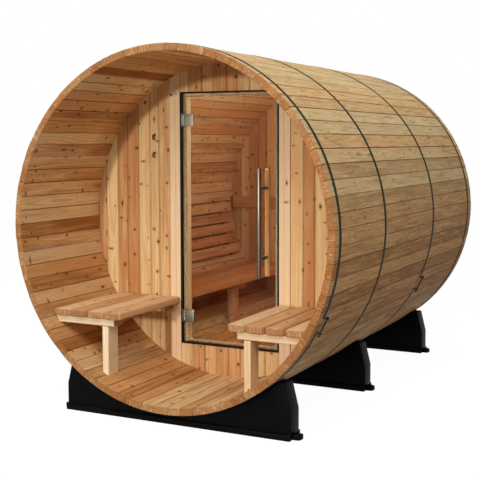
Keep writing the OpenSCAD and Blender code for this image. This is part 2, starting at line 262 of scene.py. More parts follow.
# %% Colour the sawn ends, and the outside, greyed by weather and painted lighter on top
def sawn_end(tree, place, late_wood, knottiness):
    """The colour of a board's sawn end: rings, torn fibres and pale chips."""
    across, along, through = split(place)
    torn = noise(join(tree, across, along, through * 0.5), 200.0, 3.0, 0.7)
    sawn = tint(late_wood * 0.5 + torn * 0.6, rgb(188, 124, 70), rgb(92, 48, 22))
    chips = noise(join(tree, across, along, through * 0.35), 120.0, 3.0, 0.65)
    sawn = tint(fade(chips, 0.5, 0.68) * 0.5, sawn, rgb(232, 192, 140))
    return tint(fade(knottiness, 0.35, 1.0) * 0.45, sawn, rgb(128, 76, 40))


def weathered_and_sky_lit(tree, colour, weather, place, bent, end, broad, redness):
    """The colour out of doors: greyed most on top, partly by weather and partly as painted light
    from the sky, with streaks that the rain has left.
    """
    _, along, through = split(place)
    x, _, z = split(tree.node("TexCoord", output="Object"))
    from_axis = magnitude(join(tree, x, 0.0, z - axis_z))
    outside = fade(from_axis, outer_r - 0.006, outer_r - 0.003) * (1.0 - end)
    # Painted light: the grey grows towards the top, partly for the weather there and partly for
    # the sky's light on the top.
    exposed_and_sky_lit = outside * (fade(z, 0.35, 1.75) * 0.8 + 0.2)
    colour = tint(exposed_and_sky_lit * (broad * 0.7 + 0.4 - redness * 0.35), colour, weather)
    rained = noise(join(tree, bent, along * 0.06, through), 85.0, 5.0, 0.75)
    colour = tint(outside * fade(rained, 0.52, 0.64) * 0.5, colour, rgb(110, 80, 42))
    return tint(outside * fade(rained, 0.46, 0.36) * 0.5, colour, rgb(226, 202, 156))


# %% Make a cedar finish
def cedar(name, pale, warm, deep, knot_share, ring_depth=0.30, weather=None):
    """Cedar from pale through warm to deep. weather is the tint of the faces out of doors, laid
    on most towards the top, where it is also painted light.
    """
    material, tree = new_tree(name)

    def mark(attribute, output):
        return tree.node("Attribute", {"attribute_name": attribute}, output=output)

    place = mark("grain_place", "Vector")
    end, seam = mark("end_grain", "Fac"), mark("seam", "Fac")
    darkness, redness, knottiness = split(mark("board_tone", "Vector"))
    knot, halo, shape, bent = knots(tree, place, knottiness, knot_share)
    late_wood, fine, broad, wide = grain(tree, place, bent)

    colour = tint(fade(redness + (wide - 0.5) * 0.9, 0.15, 0.85), pale, warm)
    depth = darkness + (broad - 0.5) * 1.1 + (wide - 0.5) * 0.8
    colour = tint(fade(depth, 0.25, 1.05), colour, deep)
    colour = tint(late_wood * ring_depth, colour, deep)
    colour = tint(fade(fine, 0.42, 0.75) * 0.35, colour, deep)
    colour = tint(halo * 0.35, colour, rgb(150, 92, 46))
    colour = tint(knot * (shape * 0.3 + 0.65), colour, rgb(88, 48, 22))
    colour = tint(end * 0.8, colour, sawn_end(tree, place, late_wood, knottiness))
    if weather is not None:
        colour = weathered_and_sky_lit(tree, colour, weather, place, bent, end, broad, redness)
    colour = tint(seam * 0.8, colour, rgb(74, 46, 22))

    height = (broad * 0.35 + fine * 0.4 + late_wood * 0.3 + knot * -0.4
              + end * noise(place, 700.0, 2.0, 0.7) * 1.6)
    bump = tree.node("Bump", inputs={"Height": height, "Strength": 0.4, "Distance": 0.0015})
    gloss = fine * 0.2 + knot * -0.12 + end * 0.2 + 0.48
    show(tree.node("BsdfPrincipled", inputs={"Base Color": colour, "Roughness": gloss,
                                             "Specular IOR Level": 0.03, "Normal": bump}))
    print(name, "uses", len(material.node_tree.nodes), "nodes")
    return material


# %% Mix the cedars of this sauna
stave_cedar = cedar("cedar_staves", rgb(236, 200, 146), rgb(220, 164, 106), rgb(156, 98, 50),
                    knot_share=0.74, weather=rgb(196, 172, 124))
wall_cedar = cedar("cedar_wall_boards", rgb(232, 200, 144), rgb(222, 172, 118),
                   rgb(186, 126, 76), knot_share=0.8)
pale_cedar = cedar("cedar_pale", rgb(240, 218, 180), rgb(234, 202, 160), rgb(210, 166, 118),
                   knot_share=0.35, ring_depth=0.22)
bench_cedar = cedar("cedar_bench", rgb(236, 204, 158), rgb(226, 182, 132), rgb(198, 144, 94),
                    knot_share=0.4, ring_depth=0.25)
cabin_cedar = cedar("cedar_cabin", rgb(222, 178, 130), rgb(208, 148, 98), rgb(164, 102, 58),
                    knot_share=0.6)

# %% [markdown]
# ## Boards
#
# Nearly every piece of the sauna is a board with eased edges. A board is cut in a frame of its
# own, X across, Y along and Z through, because the grain follows that frame however the board
# is turned later. It is then eased with a bevel, marked with its place in the log and its
# tone, turned to its place and added to the piece that it belongs to.

# %% Cut and ease boards
FLAT = Matrix.Identity(4)                                    # along Y, face up
UPRIGHT = Matrix(((1, 0, 0, 0), (0, 0, -1, 0), (0, 1, 0, 0), (0, 0, 0, 1)))    # along Z
CROSSWISE = Matrix(((0, 1, 0, 0), (-1, 0, 0, 0), (0, 0, 1, 0), (0, 0, 0, 1)))  # along X


def new_board(size):
    """A squared board: its size across, along and through, with its middle at the origin."""
    board = bmesh.new()
    bmesh.ops.create_cube(board, size=1.0, matrix=Matrix.Diagonal((*size, 1.0)))
    return board


def ease(board, width, segments, edges=None):
    """Rounds edges, or all of them."""
    bmesh.ops.bevel(board, geom=list(board.edges) if edges is None else edges, offset=width,
                    segments=segments, profile=0.5, affect="EDGES", material=-1,
                    clamp_overlap=True)


def saw(board, point, normal, clear=False):
    """Cuts a board's faces along a plane, and takes away what lies beyond it if asked."""
    bmesh.ops.bisect_plane(board, geom=board.verts[:] + board.edges[:] + board.faces[:],
                           dist=1e-6, plane_co=point, plane_no=normal, clear_outer=clear)


def cut(board, place, point, outward):
    """Saws a board off at a plane given in the sauna's frame, and closes the cut."""
    back = place.inverted()
    saw(board, back @ point, back.to_3x3() @ outward, clear=True)
    bmesh.ops.holes_fill(board, edges=[e for e in board.edges if e.is_boundary], sides=0)


def cut_to_barrel(board, place, x, z, reach):
    """Saws a board off square to the barrel's radius through (x, z) at reach from the axis."""
    outward = Vector((x, 0, z - axis_z)).normalized()
    cut(board, place, Vector((0, 0, axis_z)) + outward * reach, outward)


# %% Draw out and join meshes
def draw_out(mesh, faces, way):
    """Extrudes flat faces along way into closed solids, with their normals outward."""
    drawn = bmesh.ops.extrude_face_region(mesh, geom=faces)["geom"]
    bmesh.ops.translate(mesh, vec=way,
                        verts=[v for v in drawn if isinstance(v, bmesh.types.BMVert)])
    bmesh.ops.recalc_face_normals(mesh, faces=mesh.faces[:])


def join_mesh(mesh, part):
    """Adds a finished part to a mesh."""
    loose = bpy.data.meshes.new("loose")
    part.to_mesh(loose)
    part.free()
    mesh.from_mesh(loose)
    bpy.data.meshes.remove(loose)


# %% Stack boards into a piece
class Stack:
    """Boards gathered into one mesh. Each carries its place in the log and its tone."""

    def __init__(self, seed):
        self.mesh = bmesh.new()
        self.draw = random.Random(seed)

    def lay(self, board, place, darkness=None, seam=0.0):
        """Adds a board. seam is how much dust and shade its joint edges hold, from 0 to 1."""
        draw = self.draw
        log = Vector((draw.uniform(-0.10, 0.10), draw.uniform(0, 50), draw.uniform(0.03, 0.25)))
        dark = draw.betavariate(1.3, 1.8) if darkness is None else darkness
        look = Vector((dark, draw.random(), draw.random()))
        bmesh.ops.recalc_face_normals(board, faces=board.faces[:])
        for target in (board, self.mesh):
            for name in ("grain_place", "board_tone"):
                if name not in target.verts.layers.float_vector:
                    target.verts.layers.float_vector.new(name)
            for name in ("end_grain", "seam"):
                if name not in target.faces.layers.float:
                    target.faces.layers.float.new(name)
        grain = board.verts.layers.float_vector["grain_place"]
        tone = board.verts.layers.float_vector["board_tone"]
        end, joint = board.faces.layers.float["end_grain"], board.faces.layers.float["seam"]
        for vert in board.verts:
            vert[grain] = vert.co + log
            vert[tone] = look
        for face in board.faces:
            face[end] = float(abs(face.normal.y) > 0.5)
            face[joint] = seam * float(0.1 < abs(face.normal.x) and not face[end])
        board.transform(place)
        join_mesh(self.mesh, board)


# %% Hand a piece over
def finish_piece(name, mesh, material, slot, *stands_for, body="cabin"):
    """Turns a finished bmesh into a piece that rides on its body in place of CAD nodes."""
    data = bpy.data.meshes.new(name)
    mesh.to_mesh(data)
    mesh.free()
    data.materials.append(material)
    piece = bpy.data.objects.new(name, data)
    bpy.context.scene.collection.objects.link(piece)
    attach(piece, body)
    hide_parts(*stands_for)
    print(name, len(data.polygons), "faces")


# %% [markdown]
# ## Staves
#
# A stave is a long board, a little narrower inside than out, so that a ring of them closes.
# Each face is flat and each long edge is eased, which draws the fine dark line that parts one
# stave from the next. The staves are sawn one by one, and five of them stand for each bank of
# the model. None of them is exactly as long as its neighbour, as on a real barrel's rim.

# %% Raise the staves
stave_count = 75
half_stave = math.pi / stave_count
joint_gap = 0.0006
end_play, face_play = 0.0035, 0.0006       # how far a stave's end and face may stand back
stave_face = outer_r * math.cos(half_stave)
stave_back = inner_r * math.cos(half_stave)


def turned(angle, radius, y=0.0):
    """A place whose Z points out from the axis at an angle, with Y still along the barrel."""
    turn = Matrix.Rotation(math.pi / 2 - angle, 4, "Y")
    return Matrix.Translation((0, y, axis_z)) @ turn @ Matrix.Translation((0, 0, radius))


def stave(draw):
    """One stave in a board's own frame."""
    width = 2 * outer_r * math.sin(half_stave) - joint_gap
    length = y_rear - y_front
    board = new_board((width, length, stave_face - stave_back))
    inner = [v for v in board.verts if v.co.z < 0]
    bmesh.ops.scale(board, vec=(inner_r / outer_r, 1, 1), verts=inner)
    for sign in (-1, 1):
        rim = [v for v in board.verts if v.co.y * sign > 0]
        bmesh.ops.translate(board, vec=(0, -sign * draw.uniform(0, end_play), 0), verts=rim)
    long_edges = [e for e in board.edges if abs(e.verts[0].co.y - e.verts[1].co.y) > 1]
    ease(board, 0.0026, 1, long_edges)
    rim_edges = [e for e in board.edges
                 if len(e.link_faces) == 2
                 and abs(e.link_faces[0].normal.y) + abs(e.link_faces[1].normal.y) > 0.9
                 and abs(e.link_faces[0].normal.y * e.link_faces[1].normal.y) < 0.1]
    ease(board, 0.0018, 1, rim_edges)
    return board


for bank in range(15):
    stack = Stack(100 + bank)
    for number in range(5 * bank + 1, 5 * bank + 6):
        sunk = stack.draw.uniform(0, face_play)
        place = turned(2 * half_stave * number, (stave_face + stave_back) / 2 - sunk)
        stack.lay(stave(stack.draw), place, seam=stack.draw.uniform(0.15, 0.85))
    finish_piece(f"staves_{bank + 1:02d}", stack.mesh, stave_cedar, "cedar_staves",
                 f"stave_bank_{bank + 1:02d}")

# %% [markdown]
# ## Board walls
#
# The walls are tongue-and-groove boards that stand upright. Each board has a small round bead
# along one edge and a chamfer along the other, so that every joint shows a fine pair of lines.
# The section is drawn as a few points and extruded to a board's length. The boards are of mixed
# widths, as sawn from the log, and each end is sawn to the staves it runs up to.

# %% Mould a wall board
def wall_board(width, thickness, length, bead_side, both_faces):
    """An upright board with a bead along one edge of its face, and of its back if asked."""
    edge, face = width / 2 - 0.0003, thickness / 2
    front = [(-edge, face - 0.0030), (-edge + 0.0024, face), (edge - 0.0100, face),
             (edge - 0.0090, face - 0.0030), (edge - 0.0075, face - 0.0006),
             (edge - 0.0050, face), (edge - 0.0025, face - 0.0006), (edge, face - 0.0034)]
    back = [(edge, 0.0010 - face), (edge - 0.0010, -face), (0.0010 - edge, -face),
            (-edge, 0.0010 - face)]
    if both_faces:
        back = [(x, -z) for x, z in reversed(front)]
    board = bmesh.new()
    points = [board.verts.new((x * bead_side, -length / 2, z)) for x, z in front + back]
    draw_out(board, bmesh.ops.contextual_create(board, geom=points)["faces"], (0, length, 0))
    return board


def fit_to_staves(board, place, reach=0.004):
    """Saws a board to the staves, which it enters by reach as in a shallow groove."""
    for number in range(stave_count):
        angle = 2 * half_stave * number
        cut_to_barrel(board, place, math.cos(angle), axis_z + math.sin(angle),
                      stave_back + reach)


def board_edges(start, end, widths):
    """The joints of boards of the given widths in mm, laid from start and trimmed at end."""
    step, joints = math.copysign(0.001, end - start), [start]
    for width in widths * 9:
        if abs(end - joints[-1]) < width * 0.001 + 0.025:
            break
        joints.append(joints[-1] + step * width)
    return joints + [end]


def wall_boards(low, high, joints, bead_side, both_faces=False):
    """Gives each upright board of a wall with its place, sawn to the staves."""
    for start, end in zip(joints, joints[1:]):
        middle = Vector(((start + end) / 2, (low.y + high.y) / 2, (low.z + high.z) / 2))
        place = Matrix.Translation(middle) @ UPRIGHT
        board = wall_board(abs(end - start), high.y - low.y, high.z - low.z, bead_side,
                           both_faces)
        fit_to_staves(board, place)
        yield board, place


print("joints", board_edges(0.376, inner_r, [77, 67, 80, 84, 72]))

# %% [markdown]
# ## Two round vents
#
# The left wall has two round vents, one above the other, bored part of the way in. The board
# that they fall on is sawn into patches round each vent. The border of the patch is divided
# finely, its face is grown inward onto a circle, and the circle is sunk to make the bore.

# %% Bore a round recess in a board
def bore(board, x, y, radius, depth):
    """Opens a round blind hole in a board's face at (x, y) in the board's own frame."""
    reach = radius * 1.15
    for line, middle in ((Vector((1, 0, 0)), x), (Vector((0, 1, 0)), y)):
        for side in (-1, 1):
            saw(board, line * (middle + side * reach), line)
    bmesh.ops.recalc_face_normals(board, faces=board.faces[:])
    centre = Vector((x, y, max(v.co.z for v in board.verts)))
    patch = min((f for f in board.faces if f.normal.z > 0.9),
                key=lambda f: (f.calc_center_median() - centre).length)
    rim = list(patch.edges)
    bmesh.ops.delete(board, geom=[patch], context="FACES_ONLY")
    bmesh.ops.subdivide_edges(board, edges=rim, cuts=7)
    rim = [e for e in board.edges if e.is_boundary]
    middle = bmesh.ops.contextual_create(board, geom=rim)["faces"]
    for fall in (0, -depth):
        grown = bmesh.ops.extrude_face_region(board, geom=middle)["geom"]
        bmesh.ops.delete(board, geom=middle, context="FACES_ONLY")
        for corner in (g for g in grown if isinstance(g, bmesh.types.BMVert)):
            spread = corner.co - centre
            corner.co = centre + spread.normalized() * radius + Vector((0, 0, fall))
        middle = [g for g in grown if isinstance(g, bmesh.types.BMFace)]
    bmesh.ops.recalc_face_normals(board, faces=board.faces[:])


# %% Find the recesses
def corners(spots):
    """The lowest and highest corner round a list of places."""
    return (Vector([min(s[i] for s in spots) for i in range(3)]),
            Vector([max(s[i] for s in spots) for i in range(3)]))


def recess_places():
    """The middle, radius and depth of each recess, from the bore floors of the CAD wall."""
    low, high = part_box("front_wall_left")
    outer_faces = (round(low.y, 5), round(high.y, 5))
    spots = [v.co for v in frame["nodes"]["front_wall_left"].data.vertices
             if round(v.co.y, 5) not in outer_faces]
    halfway = sum(s.z for s in spots) / len(spots)
    holes = []
    for hole in ([s for s in spots if s.z > halfway], [s for s in spots if s.z <= halfway]):
        near, far = corners(hole)
        middle = (near + far) / 2
        holes.append((middle.x, middle.z, (far.x - near.x) / 2, near.y - low.y))
    return holes


recesses = recess_places()
print("recesses", [[round(v, 4) for v in r] for r in recesses])

# %% Board up the front wall
jamb_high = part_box("jamb_right")[1]
side_widths = {"left": [79, 61, 76, 80, 66, 82], "right": [77, 67, 80, 84, 72]}
for name, side in (("left", -1), ("right", 1)):
    low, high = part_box("front_wall_" + name)
    stack = Stack(20 + side)
    joints = board_edges(side * jamb_high.x, side * inner_r, side_widths[name])
    for board, place in wall_boards(low, high, joints, side):
        if side < 0:
            back = place.inverted()
            for x, z, radius, depth in recesses:
                spot = back @ Vector((x, low.y, z))
                if abs(spot.x) < 0.03:
                    bore(board, spot.x, spot.y, radius, depth)
        stack.lay(board, place, seam=0.2)
    finish_piece("wall_" + name, stack.mesh, wall_cedar, "wall_boards", "front_wall_" + name)
for name, widths in (("head", [64, 80, 72, 85]), ("sill", [74, 81, 73, 79])):
    low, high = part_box("front_wall_" + name)
    stack = Stack(len(name) + 30)
    for board, place in wall_boards(low, high, board_edges(low.x, high.x, widths), 1):
        stack.lay(board, place, seam=0.2)
    finish_piece("wall_" + name, stack.mesh, wall_cedar, "wall_boards", "front_wall_" + name)

# %% Board up the rear wall
low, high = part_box("rear_wall")
stack = Stack(41)
for board, place in wall_boards(low, high, board_edges(low.x, high.x, [82, 70, 78, 66, 84, 74]),
                                1, both_faces=True):
    stack.lay(board, place, seam=0.2)
finish_piece("wall_rear", stack.mesh, wall_cedar, "wall_boards", "rear_wall")

# %% [markdown]
# ## Planed boards
#
# Jambs, slats, beams and posts are planed boards with rounded edges. One helper cuts a board to
# a box and turns it so that its grain runs along the axis that is asked for.

# %% Plane a board to a box
TURNS = {"Y": FLAT, "Z": UPRIGHT, "X": CROSSWISE}


def planed(low, high, grain, radius, segments=3):
    """An eased board in the box from low to high, with its grain along X, Y or Z."""
    turn = TURNS[grain]
    size = turn.to_3x3().transposed() @ (high - low)
    board = new_board([abs(v) for v in size])
    ease(board, radius, segments)
    return board, Matrix.Translation((low + high) / 2) @ turn


print("turns", sorted(TURNS))

# %% [markdown]
# ## Jambs
#
# A jamb is a thicker board beside the door that runs the full height of the wall. Its face is
# planed a little proud of the wall, its long edges are rounded, and a fine groove runs down it
# where a casing meets the frame behind.

# %% Shape the jambs
def jamb_board(width, thickness, length, groove_at):
    """A jamb with rounded front edges and a groove down its face."""
    board = new_board((width, length, thickness))
    ease(board, 0.0030, 3, [e for e in board.edges if all(v.co.z > 0 for v in e.verts)
                            and abs(e.verts[0].co.y - e.verts[1].co.y) > 0.1])
    for offset in (-0.0016, 0, 0.0016):
        saw(board, (groove_at + offset, 0, 0), (1, 0, 0))
    bed = [v for v in board.verts if abs(v.co.x - groove_at) < 1e-5 and v.co.z > 0]
    bmesh.ops.translate(board, verts=bed, vec=(0, 0, -0.003))
    return board


def stop_spans(side):
    """The lengths of the door stop on a jamb. On the right they leave room for the catch."""
    sill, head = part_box("front_wall_sill")[1].z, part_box("front_wall_head")[0].z
    catch_low, catch_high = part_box("door_catch")
    if side > 0:
        return [(sill, catch_low.z - 0.005), (catch_high.z + 0.005, head)]
    return [(sill, head)]


seal_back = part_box("door_seal")[1].y
for name, side in (("left", -1), ("right", 1)):
    low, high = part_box("jamb_" + name)
    place = Matrix.Translation((low + high) / 2) @ UPRIGHT
    board = jamb_board(high.x - low.x, high.y - low.y, high.z - low.z, -side * 0.003)
    fit_to_staves(board, place, 0.003)
    stack = Stack(50 + side)
    stack.lay(board, place, darkness=0.2)
    inner = min(abs(low.x), abs(high.x))
    for bottom, top in stop_spans(side):
        ends = sorted((side * inner, side * (inner - 0.020)))
        stack.lay(*planed(Vector((ends[0], seal_back + 0.007, bottom)),
                          Vector((ends[1], high.y, top)), "Z", 0.002), darkness=0.5)
    finish_piece("jamb_board_" + name, stack.mesh, pale_cedar, "jamb_wood", "jamb_" + name)

# %% [markdown]
# ## Benches and backrest
#
# Slats, beams, posts and backrest boards are planed boards with rounded edges. Each solid of a
# CAD node is one such board, so the script finds the node's separate solids and cuts a board
# to the box of each. Edges that a person touches are rounded more.

# %% Find the separate solids of a node
def solids(node):
    """The corners of each separate solid of a CAD node, as lists of places."""
    copy = bmesh.new()
    copy.from_mesh(frame["nodes"][node].data)
    bmesh.ops.remove_doubles(copy, verts=copy.verts[:], dist=1e-5)
    found, reached = [], set()
    for first in copy.verts:
        if first in reached:
            continue
        reached.add(first)
        island = [first]
        for vert in island:                        # the list grows while it is walked
            near = [e.other_vert(vert) for e in vert.link_edges]
            fresh = [v for v in near if v not in reached]
            reached.update(fresh)
            island += fresh
        found.append([v.co.copy() for v in island])
    copy.free()
    return sorted(found, key=lambda spots: [round(v, 4) for v in corners(spots)[0]])


print("slats", [[round(v, 3) for v in corners(s)[0]] for s in solids("porch_slats_left")])


# %% Lay the porch benches
def corner_slat(low, high, side):
    """A slat with one rounded corner beside the aisle."""
    board = new_board(high - low)
    corner = [e for e in board.edges if all(v.co.x * side < 0 and v.co.y < 0 for v in e.verts)]
    ease(board, 0.030, 8, corner)
    ease(board, 0.010, 3, [e for e in board.edges if e.calc_face_angle(0) > 0.6])
    return board, Matrix.Translation((low + high) / 2)


for name, side in (("left", -1), ("right", 1)):
    stack = Stack(60 + side)
    slats = [corners(s) for s in solids("porch_slats_" + name)]
    aisle = min(range(len(slats)), key=lambda i: abs(slats[i][0].x + slats[i][1].x))
    for number, (low, high) in enumerate(slats):
        if number == aisle:
            stack.lay(*corner_slat(low, high, side))
        else:
            stack.lay(*planed(low, high, "Y", 0.010))
    finish_piece("porch_seat_" + name, stack.mesh, bench_cedar, "porch_bench_wood",
                 "porch_slats_" + name)


# %% Frame the benches
spare = 0.03                               # the length that is sawn off at the staves


def bench_frame(name, node, material, slot, seed):
    """Beams from the staves and posts down to them, sawn to meet the staves."""
    stack = Stack(seed)
    for spots in solids(node):
        low, high = corners(spots)
        post = high.z - low.z > 0.1
        if post:
            low.z -= spare
        elif low.x < 0:
            low.x -= spare
        else:
            high.x += spare
        board, place = planed(low, high, "Z" if post else "X", 0.005)
        fit_to_staves(board, place, 0.0015)
        stack.lay(board, place)
    finish_piece(name, stack.mesh, material, slot, node)


bench_frame("porch_frame_boards_left", "porch_frame_left", pale_cedar, "porch_bench_wood", 71)
bench_frame("porch_frame_boards_right", "porch_frame_right", pale_cedar, "porch_bench_wood", 77)
bench_frame("cabin_frame_boards", "cabin_frame", cabin_cedar, "cabin_wood", 73)

# %% Fit out the cabin
stack = Stack(81)
for spots in solids("cabin_slats"):
    stack.lay(*planed(*corners(spots), "Y", 0.004))
finish_piece("cabin_seat", stack.mesh, cabin_cedar, "cabin_wood", "cabin_slats")

low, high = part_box("rear_batten")
low.x, high.x = low.x - 0.02, high.x + 0.02
board, place = planed(low, high, "X", 0.003)
fit_to_staves(board, place, 0.003)
stack = Stack(82)
stack.lay(board, place)
finish_piece("batten", stack.mesh, wall_cedar, "cabin_wood", "rear_batten")

stack = Stack(83)
for spots in solids("backrest_boards"):
    middle = sum(spots, Vector()) / len(spots)
    radius = math.hypot(middle.x, middle.z - axis_z)
    place = turned(math.atan2(middle.z - axis_z, middle.x), radius, middle.y)
    back = place.inverted()
    low, high = corners([back @ s for s in spots])
    board = new_board(high - low)
    ease(board, 0.004, 3)
    stack.lay(board, place @ Matrix.Translation((low + high) / 2))
finish_piece("backrest", stack.mesh, cabin_cedar, "cabin_wood", "backrest_boards")

# %% [markdown]
# ## Backrest ribs
#
# The ribs are sawn to the barrel's curve, because they fill the space between the boards and
# the staves. A short bar is spun round the axis to make each one.

# %% Saw the ribs
stack = Stack(84)
for spots in solids("backrest_ribs"):
    radii = [math.hypot(s.x, s.z - axis_z) for s in spots]
    angles = [math.atan2(s.z - axis_z, s.x) % (2 * math.pi) for s in spots]
    low, high = corners(spots)
    start, sweep = min(angles), max(angles) - min(angles)
    rib = bmesh.new()
    bmesh.ops.create_grid(rib, x_segments=1, y_segments=1, size=0.5,
                          matrix=Matrix.Diagonal((max(radii) - min(radii) - 0.001,
                                                  high.y - low.y, 1, 1)))
    middle = (max(radii) + min(radii) - 0.001) / 2
    place = turned(start, 0, (low.y + high.y) / 2)
    bmesh.ops.transform(rib, verts=rib.verts[:],
                        matrix=Matrix.Translation((0, 0, middle))
                        @ Matrix.Rotation(math.pi / 2, 4, "Y"))
    bmesh.ops.spin(rib, geom=rib.verts[:] + rib.edges[:] + rib.faces[:], cent=(0, 0, 0),
                   axis=(0, -1, 0), angle=sweep, steps=16)
    ease(rib, 0.002, 2, [e for e in rib.edges if e.calc_face_angle(0) > 0.6])
    stack.lay(rib, place)
finish_piece("backrest_ribs_sawn", stack.mesh, cabin_cedar, "cabin_wood", "backrest_ribs")

# %% [markdown]
# ## Metal, moulding and glass finishes
#
# The hoops are dark coated steel that is scuffed here and there. The handle and hinges are
# stainless steel, brushed along their length. The cradles are moulded in black plastic with a
# fine pebble to it. The glass is clear and lets the lamps through: a shadow ray would
# otherwise stop at it, and the cabin behind would be dark.

# %% Make the metal finishes
def metal(name, colour, worn, roughness, brushed=(40, 40, 40), metallic=1.0, gloss_level=0.5):
    """Metal whose colour and gloss vary in streaks. brushed scales the streaks along X, Y, Z."""
    material, tree = new_tree(name)
    place = tree.node("TexCoord", output="Object")
    streaks = noise(place.node("VectorMath", {"operation": "MULTIPLY"},
                               {0: place, 1: brushed}), 8.0, 3.0, 0.6)
    patches = noise(place, 9.0, 4.0, 0.6)
    colour = tint(fade(patches, 0.45, 0.72) * 0.6, colour, worn)
    gloss = (streaks - 0.5) * 0.18 + (patches - 0.5) * 0.20 + roughness
    bump = tree.node("Bump", inputs={"Height": streaks, "Strength": 0.15, "Distance": 0.0004})
    show(tree.node("BsdfPrincipled", inputs={"Base Color": colour, "Roughness": gloss,
                                             "Metallic": metallic, "Normal": bump,
                                             "Specular IOR Level": gloss_level}))
    return material


hoop_steel = metal("hoop_steel", rgb(20, 18, 12), rgb(38, 33, 24), 0.6, metallic=0.0,
                   gloss_level=0.08)
bolt_steel = metal("bolt_steel", rgb(16, 15, 14), rgb(38, 35, 31), 0.45, metallic=0.3,
                   gloss_level=0.2)
lug_steel = metal("lug_steel", rgb(88, 80, 66), rgb(62, 52, 40), 0.45)
brushed_steel = metal("brushed_steel", rgb(122, 117, 106), rgb(98, 93, 83), 0.34,
                      brushed=(90, 90, 3))
satin_steel = metal("satin_steel", rgb(162, 158, 142), rgb(146, 142, 126), 0.42,
                    brushed=(90, 90, 4))
black_liner = metal("black_liner", rgb(12, 12, 11), rgb(24, 23, 21), 0.45,
                    brushed=(30, 30, 2), metallic=0.0, gloss_level=0.15)
dark_catch = metal("dark_catch", rgb(60, 57, 50), rgb(84, 80, 70), 0.40, metallic=0.6)
print("metals", hoop_steel.name, brushed_steel.name)


# %% Make the moulding, the glass and the seal
def moulding():
    """Black moulded plastic: a fine pebble, and a grey on what faces up, partly dusty and partly
    painted light from above.
    """
    material, tree = new_tree("cradle_moulding")
    place = tree.node("TexCoord", output="Object")
    pebble = noise(place, 520.0, 2.0, 0.55)
    flow = noise(place, 7.0, 4.0, 0.6)
    _, _, up = split(tree.node("NewGeometry", output="Normal"))
    # Painted light: faces that look up are greyed, partly as a dusty film and partly for the
    # light that falls on them from above.
    dust_and_top_light = fade(up, 0.3, 1.0) * fade(flow, 0.35, 0.75)
    colour = tint(dust_and_top_light * 0.5, tint(flow, rgb(3, 3, 3), rgb(9, 9, 8)), rgb(40, 38, 34))
    gloss = dust_and_top_light * 0.3 + (pebble - 0.5) * 0.15 + (flow - 0.5) * 0.18 + 0.44
    bump = tree.node("Bump", inputs={"Height": pebble, "Strength": 0.25, "Distance": 0.0006})
    show(tree.node("BsdfPrincipled", inputs={"Base Color": colour, "Roughness": gloss,
                                             "Specular IOR Level": 0.035, "Normal": bump}))
    return material


def clear(name, colour, roughness, haze):
    """A clear material that lamps shine through. haze is how far it veils what is behind."""
    material, tree = new_tree(name)
    place = tree.node("TexCoord", output="Object")
    smears = noise(place, 14.0, 4.0, 0.6)
    gloss = fade(smears, 0.55, 0.8) * 0.05 + roughness
    body = tree.node("BsdfPrincipled", inputs={
        "Base Color": colour, "Roughness": gloss, "Transmission Weight": 1.0 - haze,
        "IOR": 1.13})
    lamps = tree.node("LightPath").out("Is Shadow Ray")
    passed = tree.node("BsdfTransparent", inputs={"Color": colour})
    show(tree.node("MixShader", inputs={0: lamps, 1: body, 2: passed}))
    return material


black_moulding = moulding()
glass = clear("door_glass", (0.98, 0.955, 0.88, 1), 0.0, 0.0)
seal_plastic = clear("clear_seal", (0.66, 0.56, 0.42, 1), 0.2, 0.25)
print("clear", glass.name, seal_plastic.name)

# %% [markdown]
# ## Tools for metalwork
#
# Metal parts are blocks, turned rods and spun straps. Curved faces are shaded smooth, and an
# edge that turns sharply is marked so that it stays crisp. Small parts are built where they
# belong by giving each operator a place to build in.

# %% Make blocks and rods
def along_axis(axis, place):
    """A frame at a place whose Z points along X, Y or Z."""
    turn = {"X": Matrix.Rotation(math.pi / 2, 4, "Y"), "Y": Matrix.Rotation(-math.pi / 2, 4, "X"),
            "Z": Matrix.Identity(4)}[axis]
    return Matrix.Translation(place) @ turn


def edges_of(verts):
    """The edges round some vertices, each once and in order."""
    return sorted({e for v in verts for e in v.link_edges}, key=lambda e: e.index)


def block(mesh, low, high, radius, segments, at=FLAT):
    """An eased block from low to high, in the frame at."""
    size, middle = Vector(high) - Vector(low), (Vector(high) + Vector(low)) / 2
    made = bmesh.ops.create_cube(mesh, size=1.0, matrix=at @ Matrix.Translation(middle)
                                 @ Matrix.Diagonal((*size, 1)))["verts"]
    mesh.edges.index_update()
    ease(mesh, radius, segments, edges_of(made))


def rod(mesh, at, radius, length, sides, bevel):
    """A turned rod that rises from the frame at, with its rims eased. Six sides make a nut."""
    made = bmesh.ops.create_cone(mesh, cap_ends=True, segments=sides, radius1=radius,
                                 radius2=radius, depth=length,
                                 matrix=at @ Matrix.Translation((0, 0, length / 2)))["verts"]
    mesh.edges.index_update()
    rims = [e for e in edges_of(made) if any(len(f.verts) == sides for f in e.link_faces)]
    if bevel:
        ease(mesh, bevel, 2, rims)


def smooth(mesh):
    """Shades a mesh smooth, but for edges that turn by more than 25 degrees."""
    bmesh.ops.recalc_face_normals(mesh, faces=mesh.faces[:])
    for face in mesh.faces:
        face.smooth = True
    for edge in mesh.edges:
        edge.smooth = edge.calc_face_angle(0) < math.radians(25)


# %% [markdown]
# ## Hoops
#
# Four steel straps hold the staves. Each strap is a flat bar spun round the axis, left open
# where its two ends turn up into lugs. A threaded bolt draws the lugs together. The thread is
# turned as a row of fine ridges, which at this size reads the same as a true helix.

# %% Bend the straps
strap_t, lug_t = 0.0015, 0.004
hoops = []
for spots in solids("hoops"):
    low, high = corners(spots)
    proud = [s for s in spots if math.hypot(s.x, s.z - axis_z) > outer_r + 0.02]
    middle = sum(proud, Vector()) / len(proud)
    angle = math.atan2(middle.z - axis_z, middle.x)
    lug_face = min(abs((turned(angle, 0).inverted() @ s).x) for s in proud
                   if abs(s.y - low.y) < 1e-4)
    hoops.append((low.y, high.y, angle, lug_face))
print("hoops", [[round(v, 3) for v in hoop] for hoop in hoops])


